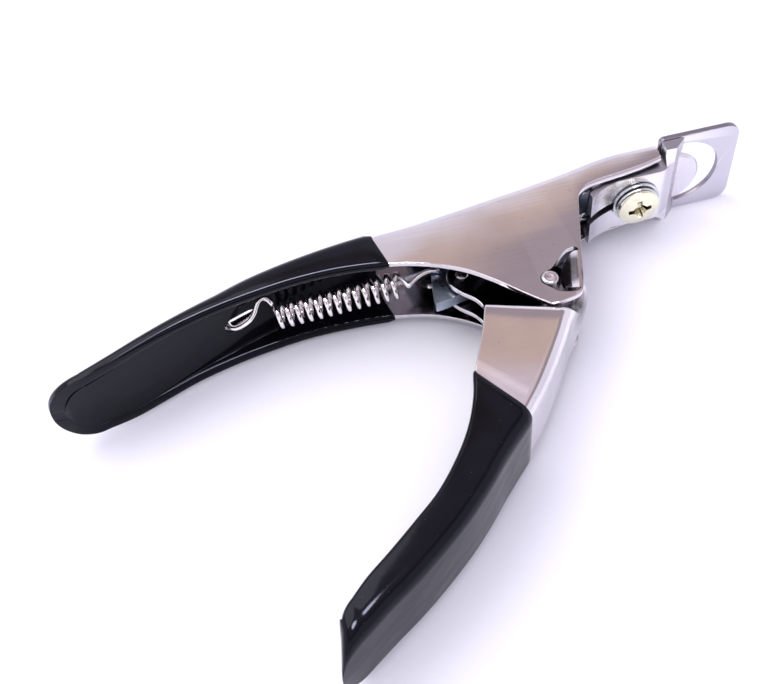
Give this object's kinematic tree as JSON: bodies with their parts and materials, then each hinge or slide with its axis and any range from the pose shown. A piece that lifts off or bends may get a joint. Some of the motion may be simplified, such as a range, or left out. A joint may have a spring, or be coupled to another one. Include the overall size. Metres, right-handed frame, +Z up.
{
  "type": "acrylic nail tip clipper",
  "caption": "Plier-style clipper for artificial nail tips: stamped channel handles with dipped grips, a sprung slide blade and a D-holed ring plate.",
  "frame": {"origin": "centre of the bounding box footprint at its lowest Z, with the tool lying on its far side", "axes": "+X along the head towards the cutting end, +Y out of the back of the upper handle, +Z up, along the fulcrum pin"},
  "size_m": [0.1342, 0.0854, 0.0192],
  "materials": {
    "chrome_plate": "bright nickel-chrome plate on stamped steel",
    "ground_steel": "ground and lightly polished blade steel",
    "black_dip": "glossy black dipped PVC",
    "blue_zinc": "blue-grey zinc plate on stamped steel",
    "yellow_zinc": "pale yellow-passivated zinc on a steel screw",
    "bright_zinc": "bright zinc plate on steel",
    "spring_wire": "bright drawn spring wire"
  },
  "bodies": {
    "frame": {"upper_handle": "chrome_plate", "upper_grip": "black_dip", "ring_plate": "chrome_plate", "ring_rivet_near": "chrome_plate", "ring_rivet_far": "chrome_plate", "cover_plate": "chrome_plate", "cover_screw": "yellow_zinc", "flat_washer": "bright_zinc", "spring_washer": "bright_zinc", "screw_nut": "chrome_plate", "fulcrum_pin": "bright_zinc", "return_spring": "spring_wire"},
    "lever": {"lower_handle": "chrome_plate", "lower_grip": "black_dip", "drive_pin": "bright_zinc"},
    "slider": {"slide_bar": "blue_zinc", "blade": "ground_steel", "blade_rivet_near": "bright_zinc", "blade_rivet_far": "bright_zinc"}
  },
  "joints": [
    {"name": "lever_squeeze", "type": "hinge", "parent": "frame", "child": "lever", "pos_m": [0.02185, 0.01467, 0.0096], "axis": [0, 0, -1], "range_deg": [0, 28]},
    {"name": "blade_slide", "type": "slide", "parent": "frame", "child": "slider", "axis": [1, 0, 0], "range_m": [0, 0.00582], "deforming": ["return_spring"]}
  ],
  "couplings": [
    {"joint": "blade_slide", "follows": "lever_squeeze", "m_per_rad": 0.0119}
  ]
}
